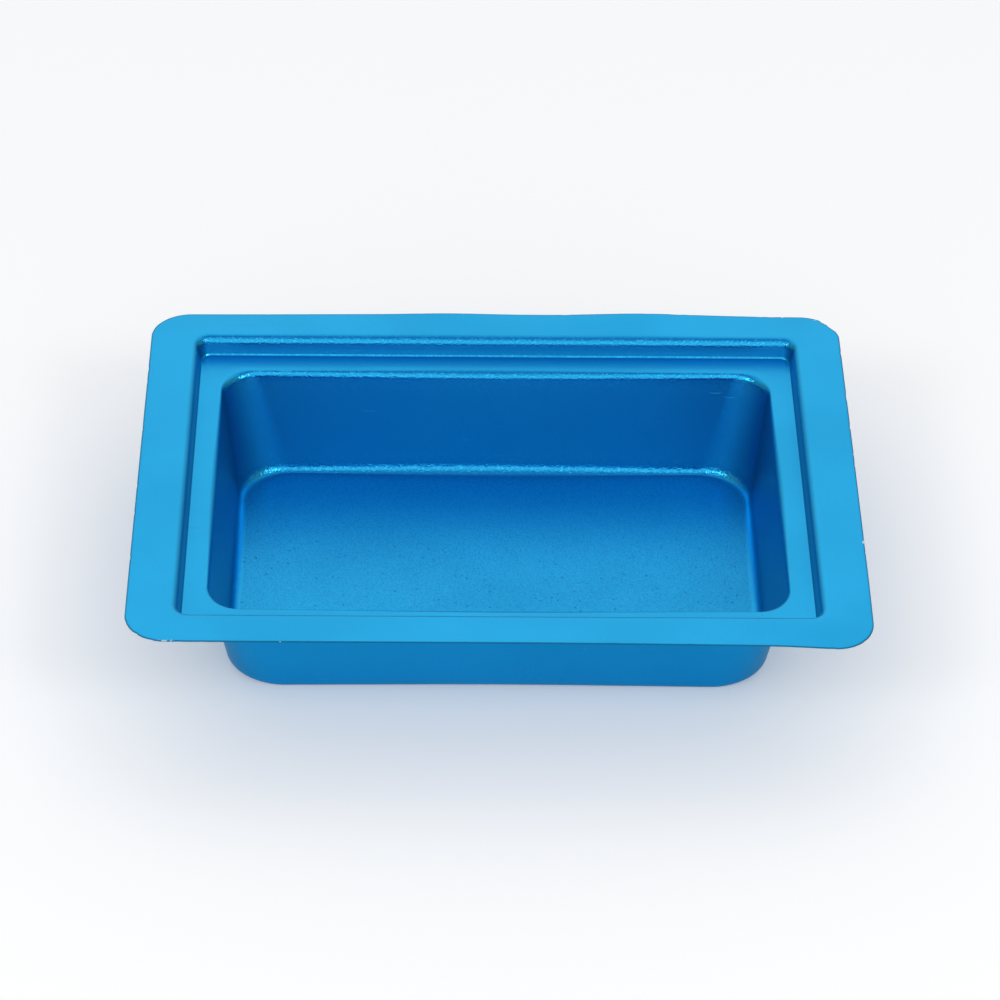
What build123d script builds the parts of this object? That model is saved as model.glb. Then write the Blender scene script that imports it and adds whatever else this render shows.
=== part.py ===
"""A shallow mud pan for filler and plaster, pressed in one piece from thin aluminium sheet.

Millimetres. +X runs along the pan, +Y across it and +Z up. The origin is the middle of the
underside of the floor, on the surface that the pan stands on.

From the cut edge inwards the sheet makes a flat rim, a short step down, a level ledge that
runs all the way round, and then the deep well with drafted walls and a flat floor.
"""
import os
from math import cos, radians, tan

from build123d import *

# overall sizes
length = 300.0
width = 232.4
height = 56.2
sheet = 0.6  # thickness of the metal

# rim: from the cut edge to where the step's wall would meet the rim's flat top
end_rim = 20.3
side_rim = 18.9
rim_corner = 18.0

# step down from the rim to the ledge
step_depth = 8.5
step_draft = 10.0  # degrees off upright
step_corner = 5.5  # plan radius at the rim
step_foot_corner = 4.0  # plan radius at the ledge

# ledge: from the foot of the step to where the well's wall would meet the ledge
end_ledge = 10.2
side_ledge = 12.5

# well
end_draft = 8.1  # degrees off upright
side_draft = 9.9
well_corner = 15.0  # plan radius at the ledge
floor_corner = 22.5  # plan radius at the floor

# bends, as radii on the inside face of the pan
rim_bend = 4.0
step_crease = 0.8
ledge_bend = 4.0
floor_bend = 5.0

# how far the block that clears the space over the rim stands past it
clearing = 10.0

# levels of the inside face, and where its walls meet them, as half sizes along X and Y
rim_level = height
ledge_level = rim_level - step_depth
floor_level = sheet
step_top = (length / 2 - end_rim, width / 2 - side_rim)
step_run = step_depth * tan(radians(step_draft))
step_foot = (step_top[0] - step_run, step_top[1] - step_run)
well_top = (step_foot[0] - end_ledge, step_foot[1] - side_ledge)
well_drafts = (end_draft, side_draft)
mid_ledge = (step_foot[0] - end_ledge / 2, step_foot[1] - side_ledge / 2)


def outline(half_sizes, corner, level):
    """A level rounded rectangle at a height."""
    shape = RectangleRounded(2 * half_sizes[0], 2 * half_sizes[1], corner)
    return Plane.XY.offset(level) * shape


def down_walls(half_sizes, drop, drafts, skin):
    """Half sizes some way down a pair of drafted walls, with a skin of metal outside them."""
    return tuple(
        half - drop * tan(radians(draft)) + skin / cos(radians(draft))
        for half, draft in zip(half_sizes, drafts)
    )


def recess(top, depth, drafts, corners, level, skin):
    """The space between drafted walls, or with a skin the same space and the metal round it."""
    upper = outline(down_walls(top, skin, drafts, skin), corners[0] + skin, level - skin)
    lower_sizes = down_walls(top, depth + skin, drafts, skin)
    lower = outline(lower_sizes, corners[1] + skin, level - depth - skin)
    return loft([upper, lower], ruled=True)


def level_edges(body, level, half_sizes):
    """The edges of a body that lie at one height, inside a rectangle."""
    near = 0.01
    edges = body.edges().filter_by_position(Axis.Z, level - near, level + near)
    edges = edges.filter_by_position(Axis.X, -half_sizes[0], half_sizes[0])
    return edges.filter_by_position(Axis.Y, -half_sizes[1], half_sizes[1])


def space_inside(skin):
    """Everything above the sheet's inside face, or with a skin above its outside face."""
    corners = (step_corner, step_foot_corner)
    step = recess(step_top, step_depth, (step_draft, step_draft), corners, rim_level, skin)
    corners = (well_corner, floor_corner)
    well_depth = ledge_level - floor_level
    well = recess(well_top, well_depth, well_drafts, corners, ledge_level, skin)
    over_rim = Box(
        length + 2 * clearing,
        width + 2 * clearing,
        clearing + skin,
        align=(Align.CENTER, Align.CENTER, Align.MIN),
    )
    space = over_rim.moved(Location((0, 0, rim_level - skin))) + step + well

    rim = (length / 2, width / 2)
    space = fillet(level_edges(space, floor_level - skin, rim), floor_bend + skin)
    space = fillet(level_edges(space, rim_level - skin, rim), rim_bend - skin)
    space = fillet(level_edges(space, ledge_level - skin, mid_ledge), ledge_bend - skin)
    at_ledge = level_edges(space, ledge_level - skin, step_top)
    crease = at_ledge - level_edges(space, ledge_level - skin, mid_ledge)
    return fillet(crease, step_crease + skin)


def pan():
    """The pressed sheet, trimmed to the rim's outline."""
    blank = extrude(outline((length / 2, width / 2), rim_corner, 0), rim_level + clearing / 2)
    return (blank & space_inside(sheet)) - space_inside(0)


os.makedirs("parts", exist_ok=True)
export_step(pan(), "parts/pan.step")
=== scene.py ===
import math

import bpy
from mathutils import Matrix, Vector


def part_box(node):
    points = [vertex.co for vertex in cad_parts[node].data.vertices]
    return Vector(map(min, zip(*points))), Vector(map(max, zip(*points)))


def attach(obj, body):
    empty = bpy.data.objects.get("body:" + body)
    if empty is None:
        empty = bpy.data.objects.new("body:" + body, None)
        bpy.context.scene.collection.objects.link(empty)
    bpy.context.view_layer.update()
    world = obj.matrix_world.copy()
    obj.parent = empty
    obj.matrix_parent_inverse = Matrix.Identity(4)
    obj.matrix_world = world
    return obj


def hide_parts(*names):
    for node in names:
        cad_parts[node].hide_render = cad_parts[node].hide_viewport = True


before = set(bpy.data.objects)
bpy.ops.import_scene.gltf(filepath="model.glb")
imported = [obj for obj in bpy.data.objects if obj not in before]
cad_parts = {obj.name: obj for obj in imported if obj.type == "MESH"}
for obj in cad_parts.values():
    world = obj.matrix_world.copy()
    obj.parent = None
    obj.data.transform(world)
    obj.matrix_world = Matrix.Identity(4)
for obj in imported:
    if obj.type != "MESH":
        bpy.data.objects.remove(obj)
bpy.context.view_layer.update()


# ---------------------------------------------------------------------------
# The pan
# One sheet of 0.6 mm aluminium, deep drawn into a flat rim, a step, a ledge, a well and a floor,
# then anodised and dyed blue. The rim was trimmed with a shear last of all, so its cut edge is
# bare, and handling has bent it a little. Bends keep the sheet's thickness.
# ---------------------------------------------------------------------------
mm = 0.001
low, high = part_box("pan")
sheet = 0.6 * mm

rim_half = (high - low).xy / 2
rim_width = Vector((20.3, 18.9)) * mm
rim_corner = 17.0 * mm
edge_roll = 0.22 * mm
step_depth = 8.5 * mm
step_draft = math.radians(10)
ledge_width = Vector((10.2, 12.5)) * mm
well_drafts = (math.radians(8.1), math.radians(9.9))

rim_level = high.z
ledge_level = rim_level - step_depth
floor_level = low.z + sheet
step_top = rim_half - rim_width
step_foot = step_top - Vector((1, 1)) * step_depth * math.tan(step_draft)
well_top = step_foot - ledge_width
well_depth = ledge_level - floor_level
floor_half = well_top - Vector([well_depth * math.tan(draft) for draft in well_drafts])
rim_core = rim_half - Vector((rim_corner, rim_corner))  # the centre of the rim's corner arcs

# stations down the section: half length and width, corner radius, level, radius of the bend
stations = [
    ("Cut Edge", rim_half, rim_corner, rim_level - 0.5 * sheet, 0.0),
    ("Rim", rim_half, rim_corner, rim_level, edge_roll),
    ("Step Top", step_top, 5.5 * mm, rim_level, 4.0 * mm),
    ("Step Foot", step_foot, 4.0 * mm, ledge_level, 0.8 * mm),
    ("Well Top", well_top, 15.0 * mm, ledge_level, 4.0 * mm),
    ("Floor", floor_half, 22.5 * mm, floor_level, 5.0 * mm),
    ("Middle", Vector((0, 0)), 0.0, floor_level, 0.0),
]

# how finely the sheet is divided, round the pan in columns and down its section in rows
corner_columns = 36
straight_columns = 112
bend_rows = 8
flat_cuts = (6, 1, 3, 5, 8)  # extra rows on the rim, step, ledge, well wall and floor
line_points = bend_rows * (len(stations) - 2) + 2
rows = line_points + sum(flat_cuts)

# what the shear did to the rim's outline: one corner snipped off in bites, and nicks all round;
# a bite or nick grows to its full depth while its noise goes from the first value to the second
snip_way = Vector((0.78, 0.62, 0.0))
snip_depth = 0.85 * mm
snip_reach = 2.2 * mm
bite_depth = 0.35 * mm
bites_per_metre = 420.0
bite_noise = (0.42, 0.60)
nick_depth = 0.25 * mm
nicks_per_metre = 230.0
nick_noise = (0.60, 0.72)

# where handling has bent the rim, in millimetres: x, y, how far it reaches, how high it lifts
rim_bends = [
    (150, -116, 150, -1.0),
    (152, -118, 48, -1.9),
    (-140, 116, 120, -1.0),
    (64, 118, 42, 1.1),
    (-20, 118, 34, 0.5),
    (130, 116, 34, -0.5),
    (-150, -40, 50, 0.4),
    (150, 30, 50, 0.3),
]
loose_past_step = (-4 * mm, 24 * mm)  # from here to here the sheet goes from firm to loose

# how a bend's marks fade: over so many rows either way, and down the last bend to the floor
fade_rows = 1.5
floor_share = 0.6
rubbed_facing = (-0.62, -0.20)  # the Y of a normal where the punch rubbed fully, and no more


class Wiring:
    """Adds nodes to a tree and wires them. A value is a number or another node's output."""

    def __init__(self, tree):
        self.tree = tree

    def add(self, kind, values=None, **settings):
        """A new node with its settings made and some of its inputs filled."""
        node = self.tree.nodes.new(kind)
        for name, setting in settings.items():
            setattr(node, name, setting)
        for key, value in (values or {}).items():
            self.put(node.inputs[key], value)
        return node

    def get(self, kind, values=None, **settings):
        """The first output of a new node."""
        return self.add(kind, values, **settings).outputs[0]

    def put(self, socket, value):
        if isinstance(value, bpy.types.NodeSocket):
            self.tree.links.new(value, socket)
        else:
            socket.default_value = value

    def math(self, operation, first, second=0.0, third=0.0):
        return self.get("ShaderNodeMath", {0: first, 1: second, 2: third}, operation=operation)

    def whole(self, operation, first, second):
        """A sum on whole numbers."""
        return self.get("FunctionNodeIntegerMath", {0: first, 1: second}, operation=operation)

    def vector(self, operation, first, second=(0, 0, 0)):
        return self.get("ShaderNodeVectorMath", {0: first, 1: second}, operation=operation)

    def measure(self, operation, first, second=(0, 0, 0)):
        """A sum on vectors whose answer is a number, such as a length."""
        node = self.add("ShaderNodeVectorMath", {0: first, 1: second}, operation=operation)
        return node.outputs["Value"]

    def scaled(self, way, length):
        return self.get("ShaderNodeVectorMath", {0: way, "Scale": length}, operation="SCALE")

    def parts(self, vector):
        """The outputs X, Y and Z of a vector."""
        return self.add("ShaderNodeSeparateXYZ", {0: vector}).outputs

    def joined(self, x=0.0, y=0.0, z=0.0):
        return self.get("ShaderNodeCombineXYZ", {0: x, 1: y, 2: z})

    def ease(self, value, low, high, start=0.0, end=1.0):
        """Runs smoothly from start to end while value goes from low to high."""
        values = {0: value, 1: low, 2: high, 3: start, 4: end}
        return self.get("ShaderNodeMapRange", values, interpolation_type="SMOOTHSTEP")

    def noise(self, place, scale, detail=2.0, roughness=0.5):
        values = {"Vector": place, "Scale": scale, "Detail": detail, "Roughness": roughness}
        return self.get("ShaderNodeTexNoise", values)

    def choose(self, index, values, data_type):
        """The value in a list that index points at."""
        node = self.add("GeometryNodeIndexSwitch", data_type=data_type)
        while len(node.index_switch_items) < len(values):
            node.index_switch_items.new()
        for key, value in enumerate([index, *values]):
            self.put(node.inputs[key], value)
        return node.outputs[0]

    def mix(self, share, first, second):
        """A colour that is second where share is 1 and first where it is 0, by the RGBA sockets."""
        node = self.add("ShaderNodeMix", {0: share, 6: first, 7: second}, data_type="RGBA")
        return node.outputs[2]

    def object_place(self):
        return self.add("ShaderNodeTexCoord").outputs["Object"]

    def stored(self, name):
        """A value that the mesh carries, for a material."""
        return self.add("ShaderNodeAttribute", attribute_name=name).outputs["Fac"]


def new_group(name, kind, inputs, outputs):
    """A node group with named sockets, as (group, wiring, its input node, its output node)."""
    group = bpy.data.node_groups.new(name, kind)
    for label, socket_type, value in inputs:
        socket = group.interface.new_socket(name=label, in_out="INPUT", socket_type=socket_type)
        if value is not None:
            socket.default_value = value
    for label, socket_type in outputs:
        group.interface.new_socket(name=label, in_out="OUTPUT", socket_type=socket_type)
    wires = Wiring(group)
    return group, wires, wires.add("NodeGroupInput"), wires.add("NodeGroupOutput")


# ---- the shape: sections of the inside face, from the cut edge to the middle of the floor
def of_station(wires, given, station, what, data_type):
    """The size, level or bend that the tree is given for a numbered station."""
    values = [given.outputs[f"{entry[0]} {what}"] for entry in stations]
    return wires.choose(station, values, data_type)


def outline_point(wires, given, station, side, along):
    """Where a station's rounded rectangle passes, along a numbered side: first arc, then run."""
    size = wires.parts(of_station(wires, given, station, "Size", "VECTOR"))
    half_x = size["X"]
    half_y = size["Y"]
    corner = size["Z"]
    level = of_station(wires, given, station, "Level", "FLOAT")

    def corner_centre(quarter_turns):
        sign_x = wires.choose(quarter_turns, [1.0, -1.0, -1.0, 1.0, 1.0], "FLOAT")
        sign_y = wires.choose(quarter_turns, [1.0, 1.0, -1.0, -1.0, 1.0], "FLOAT")
        x = wires.math("MULTIPLY", sign_x, wires.math("SUBTRACT", half_x, corner))
        y = wires.math("MULTIPLY", sign_y, wires.math("SUBTRACT", half_y, corner))
        return wires.joined(x, y, level)

    def arc_point(centre, quarter_turns):
        angle = wires.math("MULTIPLY", quarter_turns, math.pi / 2)
        x = wires.math("MULTIPLY", corner, wires.math("COSINE", angle))
        y = wires.math("MULTIPLY", corner, wires.math("SINE", angle))
        return wires.vector("ADD", centre, wires.joined(x, y))

    arc_share = wires.math("DIVIDE", along, given.outputs["Corner Columns"])
    arc_share = wires.math("MINIMUM", arc_share, 1.0)
    run_share = wires.math("SUBTRACT", along, given.outputs["Corner Columns"])
    run_share = wires.math("DIVIDE", run_share, given.outputs["Straight Columns"])
    run_share = wires.math("MAXIMUM", run_share, 0.0)
    next_side = wires.math("ADD", side, 1.0)
    on_arc = arc_point(corner_centre(side), wires.math("ADD", side, arc_share))
    next_arc = arc_point(corner_centre(next_side), next_side)
    # sockets 4 and 5 are a Mix node's two vectors, and output 1 is the vector between them
    run = wires.add("ShaderNodeMix", {0: run_share, 4: on_arc, 5: next_arc}, data_type="VECTOR")
    return run.outputs[1]


def sheared(wires, given, point, station):
    """An outline point as the shear left it: the rim's own points move in by snip and nick."""
    snip_line = snip_way.xy.dot(rim_core) + rim_corner
    over = wires.math("SUBTRACT", wires.measure("DOT_PRODUCT", point, snip_way), snip_line)
    over = wires.math("ADD", over, given.outputs["Snipped Corner"])
    bite = wires.ease(wires.noise(point, bites_per_metre, 1.0), *bite_noise)
    bite = wires.math("MULTIPLY", bite, wires.ease(over, -snip_reach, 0.0))
    bite = wires.math("MULTIPLY", bite, given.outputs["Snip Bites"])
    snip = wires.math("ADD", wires.math("MAXIMUM", over, 0.0), bite)

    nick = wires.ease(wires.noise(point, nicks_per_metre), *nick_noise)
    nick = wires.math("MULTIPLY", nick, given.outputs["Edge Nicks"])
    nick = wires.math("MULTIPLY", nick, -1.0)
    core = Vector((rim_core.x, rim_core.y, 1.0))
    nearest = wires.vector("MAXIMUM", wires.vector("MINIMUM", point, core), -core)
    outward = wires.vector("NORMALIZE", wires.vector("SUBTRACT", point, nearest))

    move = wires.vector("ADD", wires.scaled(-snip_way, snip), wires.scaled(outward, nick))
    on_rim = wires.math("LESS_THAN", station, 1.5)  # stations 0 and 1 are the cut edge and the rim
    return wires.vector("ADD", point, wires.scaled(move, on_rim))


def section_lines(wires, given, quarter, columns):
    """One line down the section for each column, its bends filleted and its flats divided."""
    index = wires.get("GeometryNodeInputIndex")
    column = wires.whole("DIVIDE_FLOOR", index, len(stations))
    station = wires.whole("MODULO", index, len(stations))
    side = wires.whole("DIVIDE_FLOOR", column, quarter)
    along = wires.whole("SUBTRACT", column, wires.whole("MULTIPLY", side, quarter))
    point = outline_point(wires, given, station, side, along)
    points = wires.get("GeometryNodePoints", {
        "Count": wires.whole("MULTIPLY", columns, len(stations)),
        "Position": sheared(wires, given, point, station),
    })
    lines = wires.get("GeometryNodePointsToCurves", {
        "Points": points,
        "Curve Group ID": column,
        "Weight": station,
    })
    bent = wires.get("GeometryNodeFilletCurve", {
        "Curve": lines,
        "Count": bend_rows - 1,
        "Radius": of_station(wires, given, station, "Bend", "FLOAT"),
    }, mode="POLY")

    line_point = wires.whole("MODULO", index, line_points)
    cuts = 0.0
    for number, extra in enumerate(flat_cuts):
        bend_end = bend_rows * (number + 1)
        whole_pair = {2: line_point, 3: bend_end}
        here = wires.get("FunctionNodeCompare", whole_pair, data_type="INT", operation="EQUAL")
        cuts = wires.math("MULTIPLY_ADD", here, float(extra), cuts)
    return wires.get("GeometryNodeSubdivideCurve", {"Curve": bent, "Cuts": cuts})


def sheet_over(wires, lines, columns):
    """A grid, the place on the lines for each of its points, and the row that each is in."""
    grid = wires.get("GeometryNodeMeshGrid", {
        "Size X": columns,
        "Size Y": rows - 1,
        "Vertices X": wires.whole("ADD", columns, 1),
        "Vertices Y": rows,
    })
    flat_place = wires.parts(wires.get("GeometryNodeInputPosition"))
    column = wires.math("ADD", flat_place["X"], wires.math("DIVIDE", columns, 2.0))
    column = wires.math("MODULO", wires.math("ROUND", column), columns)
    row = wires.math("ROUND", wires.math("ADD", flat_place["Y"], (rows - 1) / 2))
    place = wires.get("GeometryNodeSampleIndex", {
        "Geometry": lines,
        "Value": wires.get("GeometryNodeInputPosition"),
        "Index": wires.math("MULTIPLY_ADD", column, rows, row),
    }, data_type="FLOAT_VECTOR", domain="POINT")
    return grid, place, row


def store(wires, shape, name, value):
    values = {"Geometry": shape, "Name": name, "Value": value}
    kind = "GeometryNodeStoreNamedAttribute"
    return wires.get(kind, values, data_type="FLOAT", domain="POINT")


def marked_rows(wires, shape, row):
    """Stores which rows are in a bend, on the floor or at the cut edge, for the blue face."""
    def first_row(number):
        """The row where a numbered bend starts, with the edge roll as bend 0."""
        return number * bend_rows + 1 + sum(flat_cuts[:number])

    in_bend = 0.0
    bend_span = bend_rows - 1
    for number in (1, 2, 3, 4):
        first = first_row(number)
        last = first + bend_span
        start = wires.ease(row, first - fade_rows, first + fade_rows)
        stop = wires.ease(row, last - fade_rows, last + fade_rows, 1.0, 0.0)
        in_bend = wires.math("MAXIMUM", in_bend, wires.math("MULTIPLY", start, stop))
    on_floor = wires.ease(row, first_row(4) + floor_share * bend_span, first_row(4) + bend_span)
    at_edge = wires.ease(row, float(bend_rows), bend_rows + 1.0, 1.0, 0.0)
    shape = store(wires, shape, "bend", in_bend)
    shape = store(wires, shape, "floor", on_floor)
    return store(wires, shape, "edge", at_edge)


def rubbed_bends(wires, shape):
    """Stores where the peel shows: on the bends that face the front, rubbed by the punch."""
    facing = wires.parts(wires.get("GeometryNodeInputNormal"))["Y"]
    rubbed = wires.ease(facing, *rubbed_facing, 1.0, 0.0)
    bend = wires.get("GeometryNodeInputNamedAttribute", {0: "bend"}, data_type="FLOAT")
    return store(wires, shape, "peel", wires.math("MULTIPLY", bend, rubbed))


def handled_rim(wires, shape):
    """Lifts and lowers the rim where handling has bent it, and leaves the step and well alone."""
    here = wires.get("GeometryNodeInputPosition")
    spot = wires.parts(here)
    past_x = wires.math("SUBTRACT", wires.math("ABSOLUTE", spot["X"]), step_top.x)
    past_y = wires.math("SUBTRACT", wires.math("ABSOLUTE", spot["Y"]), step_top.y)
    past = wires.joined(wires.math("MAXIMUM", past_x, 0.0), wires.math("MAXIMUM", past_y, 0.0))
    loose = wires.ease(wires.measure("LENGTH", past), *loose_past_step)
    lift = 0.0
    for bend in rim_bends:
        x, y, reach, height = [size * mm for size in bend]
        away = wires.measure("LENGTH", wires.vector("SUBTRACT", here, (x, y, rim_level)))
        lift = wires.math("ADD", lift, wires.ease(away, 0.0, reach, height, 0.0))
    lift = wires.joined(z=wires.math("MULTIPLY", lift, loose))
    return wires.get("GeometryNodeSetPosition", {"Geometry": shape, "Offset": lift})


def pan_tree():
    """The whole inside face of the sheet, as a grid of sections round the pan."""
    sockets = []
    for label, half, corner, level, bend in stations:
        sockets.append((f"{label} Size", "NodeSocketVector", (half.x, half.y, corner)))
        sockets.append((f"{label} Level", "NodeSocketFloat", level))
        sockets.append((f"{label} Bend", "NodeSocketFloat", bend))
    sockets.append(("Corner Columns", "NodeSocketInt", corner_columns))
    sockets.append(("Straight Columns", "NodeSocketInt", straight_columns))
    sockets.append(("Edge Nicks", "NodeSocketFloat", nick_depth))
    sockets.append(("Snipped Corner", "NodeSocketFloat", snip_depth))
    sockets.append(("Snip Bites", "NodeSocketFloat", bite_depth))
    sockets.append(("Face", "NodeSocketMaterial", None))
    outputs = [("Sheet", "NodeSocketGeometry")]
    tree, wires, given, made = new_group("pressed_pan", "GeometryNodeTree", sockets, outputs)

    quarter = wires.whole("ADD", given.outputs["Corner Columns"], given.outputs["Straight Columns"])
    columns = wires.whole("MULTIPLY", quarter, 4)
    lines = section_lines(wires, given, quarter, columns)
    shape, place, row = sheet_over(wires, lines, columns)
    shape = marked_rows(wires, shape, row)
    shape = wires.get("GeometryNodeSetPosition", {"Geometry": shape, "Position": place})
    shape = rubbed_bends(wires, shape)
    shape = handled_rim(wires, shape)
    doubles = 0.001 * mm
    shape = wires.get("GeometryNodeMergeByDistance", {"Geometry": shape, "Distance": doubles})
    shape = wires.get("GeometryNodeSetShadeSmooth", {"Geometry": shape})
    shape = wires.get("GeometryNodeRealizeInstances", {"Geometry": shape})
    face = given.outputs["Face"]
    shape = wires.get("GeometryNodeSetMaterial", {"Geometry": shape, "Material": face})
    wires.put(made.inputs["Sheet"], shape)
    return tree


# ---- the blue faces: a clear dyed film over bright metal, with the marks of press and use, and painted glints on the bends
# dyes and metals; the first two go from where the dye took lightly to where it took deeply
inside_dye = ((0.014, 0.376, 0.715, 1.0), (0.012, 0.358, 0.685, 1.0))
# the outside dye is darker: partly the duller die side of the sheet, partly painted shade for the body
# under the rim
outside_dye_and_shade = ((0.002, 0.308, 0.655, 1.0), (0.001, 0.288, 0.625, 1.0))
stretched_dye = (0.0, 0.25, 0.58, 1.0)
# painted highlight: the pale cyan glint laid on the grain tips of the bends that face the front
painted_glint_colour = (0.05, 0.60, 1.0, 1.0)
scratch_line = (0.05, 0.42, 0.72, 1.0)
pit_bottom = (0.0, 0.10, 0.30, 1.0)
scuffed_edge = (0.0, 0.06, 0.13, 1.0)
bright_metal = (0.75, 0.80, 0.83, 1.0)

# how rough the film is on the flats and on a rubbed bend, and what marks add to it
inside_roughness = 0.35
outside_roughness = 0.38
bend_roughness = 0.17
side_polish = 0.4  # the polish of a bend that was not rubbed, as a share of a rubbed one's
polish_span = (0.2, 0.9)
smudge_roughness = 0.05
scratch_roughness = 0.12

# grain: orange peel on the bends, and a fine tooth all over that is plainest on the floor
peel_size = 1.1 * mm
peel_colour = 0.25
tip_noise = (0.50, 0.64)
# how strongly the painted glint colour covers the grain tips
painted_glint_share = 0.34
side_peel = 0.12  # the share of the peel on bends that were not rubbed
tooth_per_metre = 1350.0
wall_tooth = 0.10
floor_tooth = 0.40
speckle_noise = (0.40, 0.50)
wall_speckle = 0.04
floor_speckle = 0.26
relief_depth = 0.22 * mm

# marks of use: scratches, pits and smudges inside, scuffs and chips along the cut edge
scratch_sets = ((0.12, 0.35), (1.35, 0.35), (2.45, 0.30))  # which way they run, how strongly
scratch_noise = (0.70, 0.76)
scratch_patches_per_metre = 38.0
scratch_patch_noise = (0.56, 0.66)
scratch_relief = 0.5
smudges_per_metre = 16.0
smudge_noise = (0.35, 0.70)
pits_per_metre = 420.0
pit_share = 0.20
pit_radius = (0.10, 0.22)  # where a pit starts to fade and where it ends, in cells
pit_colour = 0.26
pit_relief = 0.9
scuff_span = (0.75, 1.0)
scuff_colour = 0.65
chips_per_metre = 330.0
chip_noise = (0.775, 0.80)
chip_span = (0.6, 0.9)
chip_colour = 0.7
knock_colour = 0.8
knock_place = Vector((-rim_half.x + 17.5 * mm, -rim_half.y + 0.2 * mm, rim_level))
knock_core = 1.8 * mm
knock_reach = 4.0 * mm


def scratch_group():
    """Broken hairlines that run one way: a noise stretched into streaks, kept only in patches."""
    group, wires, given, made = new_group(
        "hairline_scratches",
        "ShaderNodeTree",
        [
            ("Turn", "NodeSocketFloat", 0.0),
            ("Fineness", "NodeSocketFloat", 900.0),
            ("Reach", "NodeSocketFloat", 55.0),
            ("Amount", "NodeSocketFloat", 0.5),
        ],
        [("Mask", "NodeSocketFloat")],
    )
    turn = {"Vector": wires.object_place(), "Angle": given.outputs["Turn"]}
    turned = wires.get("ShaderNodeVectorRotate", turn)
    fineness = given.outputs["Fineness"]
    spread = wires.joined(given.outputs["Reach"], fineness, fineness)
    streaks = wires.noise(wires.vector("MULTIPLY", turned, spread), 1.0, 1.0)
    patches = wires.noise(turned, scratch_patches_per_metre)
    line = wires.ease(streaks, *scratch_noise)
    mask = wires.math("MULTIPLY", line, wires.ease(patches, *scratch_patch_noise))
    wires.put(made.inputs["Mask"], wires.math("MULTIPLY", mask, given.outputs["Amount"]))
    return group


def grain_group():
    """The skin of rolled and stretched sheet: fine tooth everywhere, orange peel where asked."""
    group, wires, given, made = new_group(
        "sheet_grain",
        "ShaderNodeTree",
        [
            ("Peel", "NodeSocketFloat", 0.0),
            ("Peel Size", "NodeSocketFloat", peel_size),
            ("Tooth", "NodeSocketFloat", 0.15),
        ],
        [
            ("Height", "NodeSocketFloat"),
            ("Sparkle", "NodeSocketFloat"),
            ("Speckle", "NodeSocketFloat"),
        ],
    )
    place = wires.object_place()
    peels_per_metre = wires.math("DIVIDE", 1.0, given.outputs["Peel Size"])
    peel = wires.noise(place, peels_per_metre, 1.0, 0.6)
    tooth = wires.noise(place, tooth_per_metre)
    raised = wires.math("MULTIPLY", peel, given.outputs["Peel"])
    fine = wires.math("MULTIPLY", tooth, given.outputs["Tooth"])
    wires.put(made.inputs["Height"], wires.math("ADD", raised, fine))
    wires.put(made.inputs["Sparkle"], wires.ease(peel, *tip_noise))
    wires.put(made.inputs["Speckle"], wires.ease(tooth, *speckle_noise, 1.0, 0.0))
    return group


scratches = scratch_group()
grain = grain_group()


def scratched(wires):
    """A mask of hairlines in a few sets, each running its own way."""
    mask = 0.0
    for turn, amount in scratch_sets:
        values = {"Turn": turn, "Amount": amount}
        streaks = wires.add("ShaderNodeGroup", values, node_tree=scratches)
        mask = wires.math("MAXIMUM", mask, streaks.outputs["Mask"])
    return mask


def pitted(wires, place):
    """A mask of round dots, in a share of the cells of an uneven pattern."""
    cells = wires.add("ShaderNodeTexVoronoi", {"Vector": place, "Scale": pits_per_metre})
    draw = wires.get("ShaderNodeSeparateColor", {"Color": cells.outputs["Color"]})
    chosen = wires.math("GREATER_THAN", draw, 1.0 - pit_share)
    dot = wires.ease(cells.outputs["Distance"], *pit_radius, 1.0, 0.0)
    return wires.math("MULTIPLY", dot, chosen)


def chipped(wires, place, sparkle):
    """A mask of chips in the film: small ones here and there, and one knock at the front."""
    chips = wires.ease(wires.noise(place, chips_per_metre, 1.0), *chip_noise, 0.0, chip_colour)
    away = wires.measure("DISTANCE", place, knock_place)
    knock = wires.ease(away, knock_core, knock_reach, knock_colour, 0.0)
    return wires.math("MAXIMUM", chips, wires.math("MULTIPLY", knock, sparkle))


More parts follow.
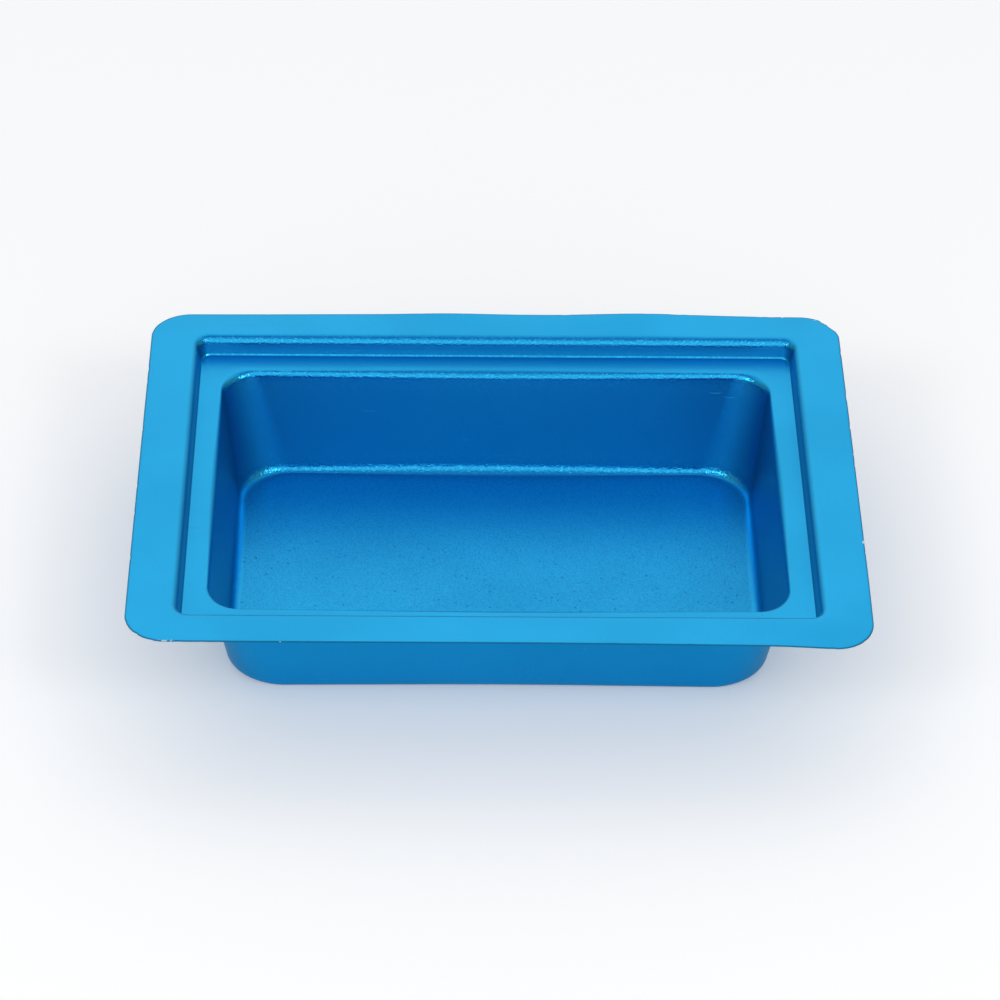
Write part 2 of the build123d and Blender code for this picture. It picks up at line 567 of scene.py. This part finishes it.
def blue_face(name, dye, flat_roughness):
    """Dyed film on metal. The dye goes from light to deep, and marks are laid over it in turn, with
    painted glints on the grain tips of the front-facing bends.
    """
    material = bpy.data.materials.new(name)
    material.use_nodes = True
    wires = Wiring(material.node_tree)
    shader = material.node_tree.nodes["Principled BSDF"]
    place = wires.object_place()
    bend = wires.stored("bend")
    peel = wires.stored("peel")
    floor = wires.stored("floor")
    edge = wires.stored("edge")

    skin = wires.add("ShaderNodeGroup", {
        "Peel": wires.math("MAXIMUM", peel, wires.math("MULTIPLY", bend, side_peel)),
        "Tooth": wires.math("MULTIPLY_ADD", floor, floor_tooth, wall_tooth),
    }, node_tree=grain)
    sparkle = skin.outputs["Sparkle"]
    scratch = scratched(wires)
    pit = wires.math("MULTIPLY", pitted(wires, place), floor)
    smudge = wires.ease(wires.noise(place, smudges_per_metre, 3.0), *smudge_noise)

    # painted highlight: grain tips on the front-facing bends are coloured pale, as glints
    painted_glint = wires.math("MULTIPLY", wires.math("MULTIPLY", peel, sparkle), painted_glint_share)
    speckle = wires.math("MULTIPLY_ADD", floor, floor_speckle, wall_speckle)
    speckle = wires.math("MULTIPLY", skin.outputs["Speckle"], speckle)
    dark_spot = wires.math("MAXIMUM", wires.math("MULTIPLY", pit, pit_colour), speckle)
    scuff = wires.ease(edge, *scuff_span, 0.0, scuff_colour)
    chip = wires.math("MULTIPLY", chipped(wires, place, sparkle), wires.ease(edge, *chip_span))
    colour = wires.mix(smudge, *dye)
    colour = wires.mix(wires.math("MULTIPLY", peel, peel_colour), colour, stretched_dye)
    # lays the painted glint colour over the dye
    colour = wires.mix(painted_glint, colour, painted_glint_colour)
    colour = wires.mix(scratch, colour, scratch_line)
    colour = wires.mix(dark_spot, colour, pit_bottom)
    colour = wires.mix(scuff, colour, scuffed_edge)
    colour = wires.mix(chip, colour, bright_metal)
    wires.put(shader.inputs["Base Color"], colour)

    polish = wires.math("MAXIMUM", peel, wires.math("MULTIPLY", bend, side_polish))
    rough = wires.ease(polish, *polish_span, flat_roughness, bend_roughness)
    rough = wires.math("MULTIPLY_ADD", smudge, smudge_roughness, rough)
    rough = wires.math("MULTIPLY_ADD", scratch, scratch_roughness, rough)
    wires.put(shader.inputs["Roughness"], rough)

    sunk = wires.math("MULTIPLY_ADD", scratch, scratch_relief, wires.math("MULTIPLY", pit, pit_relief))
    relief = wires.math("SUBTRACT", skin.outputs["Height"], sunk)
    bump = {"Height": relief, "Strength": 1.0, "Distance": relief_depth}
    wires.put(shader.inputs["Normal"], wires.get("ShaderNodeBump", bump))

    shader.inputs["Metallic"].default_value = 1.0
    shader.inputs["Specular Tint"].default_value = (0.56, 0.68, 0.65, 1.0)
    shader.inputs["Coat Weight"].default_value = 0.15
    shader.inputs["Coat Roughness"].default_value = 0.3
    shader.inputs["Coat IOR"].default_value = 1.5
    return material


# ---- the cut edge of the rim: bare metal with the shear's torn grain, tarnished in patches
tarnish_dark = (0.01, 0.09, 0.16, 1.0)
tarnish_pale = (0.07, 0.17, 0.24, 1.0)
tarnish_per_metre = 60.0
tarnish_noise = (0.35, 0.65)
torn_grain = {"Peel": 0.5, "Peel Size": 0.5 * mm}
torn_depth = 0.05 * mm
torn_roughness = (0.38, 0.55)


def bare_edge():
    material = bpy.data.materials.new("bare_cut_edge")
    material.use_nodes = True
    wires = Wiring(material.node_tree)
    shader = material.node_tree.nodes["Principled BSDF"]
    skin = wires.add("ShaderNodeGroup", torn_grain, node_tree=grain)
    patches = wires.noise(wires.object_place(), tarnish_per_metre, 4.0)
    patches = wires.ease(patches, *tarnish_noise)
    wires.put(shader.inputs["Base Color"], wires.mix(patches, tarnish_dark, tarnish_pale))
    rough = wires.ease(skin.outputs["Sparkle"], 0.0, 1.0, *torn_roughness)
    wires.put(shader.inputs["Roughness"], rough)
    bump = {"Height": skin.outputs["Height"], "Distance": torn_depth}
    wires.put(shader.inputs["Normal"], wires.get("ShaderNodeBump", bump))
    shader.inputs["Metallic"].default_value = 1.0
    return material


# ---- the sheet: its inside face is pressed, then given its thickness downwards
def pressed_face(face):
    """The inside face as a plain mesh, made by the tree on an object of its own."""
    tree = pan_tree()
    blank = bpy.data.objects.new("blank", bpy.data.meshes.new("blank"))
    bpy.context.scene.collection.objects.link(blank)
    press = blank.modifiers.new("press", "NODES")
    press.node_group = tree
    settings = {
        "Corner Columns": corner_columns,
        "Straight Columns": straight_columns,
        "Face": face,
    }
    for socket in tree.interface.items_tree:
        if socket.name in settings:
            press[socket.identifier] = settings[socket.name]
    bpy.context.view_layer.update()
    evaluated = blank.evaluated_get(bpy.context.evaluated_depsgraph_get())
    mesh = bpy.data.meshes.new_from_object(evaluated)
    mesh.name = "pan_sheet"
    bpy.data.objects.remove(blank)
    return mesh


inside_face = blue_face("blue_inside_face", inside_dye, inside_roughness)
# the outside face takes the darker dye, which is partly painted shade
outside_face = blue_face("blue_outside_face", outside_dye_and_shade, outside_roughness)
pan = bpy.data.objects.new("pan_sheet", pressed_face(inside_face))
bpy.context.scene.collection.objects.link(pan)
pan.data.materials.append(outside_face)
pan.data.materials.append(bare_edge())
thicken = pan.modifiers.new("thicken", "SOLIDIFY")
thicken.thickness = sheet
thicken.offset = -1.0
thicken.use_even_offset = True
thicken.material_offset = 1
thicken.material_offset_rim = 2
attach(pan, "root")
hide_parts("pan")


# ---------------------------------------------------------------------------
# Floor, light and camera
# A plain pale table in a white studio: bright walls all round, a dimmer ceiling, two square
# lamps in front, and a long lens that looks down on the pan.
# ---------------------------------------------------------------------------
table_reach = 3.0
table_gap = 0.1 * mm  # keeps the table clear of the pan's underside

# brightness of the walls up to the ceiling, as (height, light), with 0 level and 1 overhead
walls_before = ((0.0, 0.85), (0.25, 1.0), (0.72, 0.92))
walls_behind = ((0.0, 0.80), (0.6, 0.97), (0.84, 0.92))
ceiling_height = 0.93
ceiling_edge = (0.30, 0.40, 0.56, 1.0)
ceiling_middle = (0.26, 0.36, 0.52, 1.0)
front_strength = 1.25
side_strength = 0.42

lamp_place = Vector((1.3, -1.3, 1.55))
lamp_side = 0.7
lamp_power = 7.0

camera_place = Vector((-0.0270, -1.4966, rim_level + 1.0918))
camera_tilt = math.radians(36.491)
camera_heading = math.radians(1.0785)
camera_roll = math.radians(0.98)
camera_lens = 159.5


def pale_table():
    mesh = bpy.data.meshes.new("studio_floor")
    signs = [(-1, -1), (1, -1), (1, 1), (-1, 1)]
    top = low.z - table_gap
    corners = [(x * table_reach, y * table_reach, top) for x, y in signs]
    mesh.from_pydata(corners, [], [(0, 1, 2, 3)])
    table = bpy.data.objects.new("studio_floor", mesh)
    bpy.context.scene.collection.objects.link(table)
    material = bpy.data.materials.new("pale_paper")
    material.use_nodes = True
    shader = material.node_tree.nodes["Principled BSDF"]
    shader.inputs["Base Color"].default_value = (0.96, 0.93, 0.89, 1.0)
    shader.inputs["Roughness"].default_value = 0.9
    shader.inputs["Specular IOR Level"].default_value = 0.1
    shader.inputs["Emission Color"].default_value = (1.0, 1.0, 1.0, 1.0)
    shader.inputs["Emission Strength"].default_value = 0.16
    mesh.materials.append(material)


def studio_world():
    """White walls, brighter ahead and behind than at the sides, under a dim bluish ceiling."""
    world = bpy.data.worlds.new("white_studio")
    bpy.context.scene.world = world
    world.use_nodes = True
    wires = Wiring(world.node_tree)
    background = world.node_tree.nodes["Background"]
    way = wires.parts(wires.add("ShaderNodeTexCoord").outputs["Generated"])

    def wall(stops):
        ramp = wires.add("ShaderNodeValToRGB", {0: way["Z"]})
        elements = ramp.color_ramp.elements
        first_light = stops[0][1]
        elements[0].color = (first_light, first_light, first_light, 1.0)
        elements[1].color = ceiling_middle
        for height, light in stops[1:]:
            elements.new(height).color = (light, light, light, 1.0)
        elements.new(ceiling_height).color = ceiling_edge
        return ramp.outputs[0]

    behind_pan = wires.ease(way["Y"], -0.25, 0.25)
    light = wires.mix(behind_pan, wall(walls_before), wall(walls_behind))
    wires.put(background.inputs["Color"], light)
    aside = wires.math("ABSOLUTE", way["X"])
    strength = wires.ease(aside, 0.25, 0.85, front_strength, side_strength)
    wires.put(background.inputs["Strength"], strength)


def softbox(name, place):
    """A square lamp that faces the pan."""
    lamp = bpy.data.lights.new(name, "AREA")
    lamp.shape = "SQUARE"
    lamp.size = lamp_side
    lamp.energy = lamp_power
    holder = bpy.data.objects.new(name, lamp)
    holder.location = place
    holder.rotation_euler = place.to_track_quat("Z", "Y").to_euler()
    bpy.context.scene.collection.objects.link(holder)


def studio_camera():
    """Stands in front of the pan, a little to the left, tilted down and rolled slightly."""
    level = Vector((math.cos(camera_heading), -math.sin(camera_heading), 0))
    forward = Vector((math.sin(camera_heading), math.cos(camera_heading), 0))
    ahead = forward * math.cos(camera_tilt) - Vector((0, 0, math.sin(camera_tilt)))
    right = level * math.cos(camera_roll) + level.cross(ahead) * math.sin(camera_roll)
    up = right.cross(ahead)
    lens = bpy.data.cameras.new("studio_camera")
    lens.sensor_width = 36.0
    lens.lens = camera_lens
    lens.clip_end = 20.0
    camera = bpy.data.objects.new("studio_camera", lens)
    turn = Matrix((right, up, -ahead)).transposed().to_4x4()
    camera.matrix_world = Matrix.Translation(camera_place) @ turn
    bpy.context.scene.collection.objects.link(camera)
    bpy.context.scene.camera = camera


pale_table()
studio_world()
softbox("softbox_left", Vector((-lamp_place.x, lamp_place.y, lamp_place.z)))
softbox("softbox_right", lamp_place)
studio_camera()
bpy.context.scene.view_settings.view_transform = "Standard"
